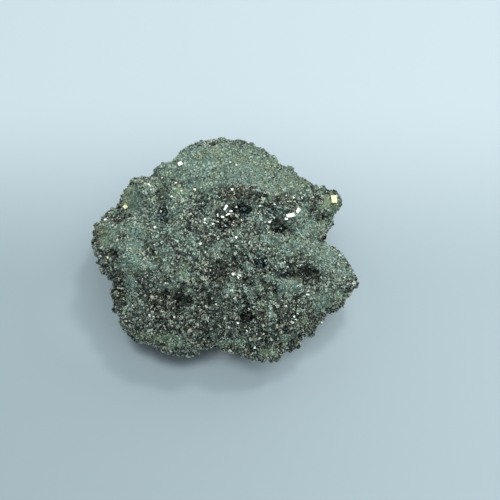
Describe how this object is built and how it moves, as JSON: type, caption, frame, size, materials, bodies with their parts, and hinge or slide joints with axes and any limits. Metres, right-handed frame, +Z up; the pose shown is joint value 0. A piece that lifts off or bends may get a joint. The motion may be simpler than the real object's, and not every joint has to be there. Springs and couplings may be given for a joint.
{
  "type": "pyrite crystal",
  "caption": "Rough rounded lump of fine-grained pyrite with crystal-lined hollows, resting on a small flat spot; a mineral specimen for a shelf, table or tray.",
  "frame": {"origin": "middle of the bounding box at the base, on the flat spot that the lump rests on", "axes": "+Z up, +X along the lump's width, -Y towards the side with the crystal-lined hollows"},
  "size_m": [0.049, 0.048, 0.0232],
  "materials": {
    "pyrite": "satin"
  },
  "bodies": {
    "root": {"pyrite_lump": "pyrite"}
  },
  "joints": []
}
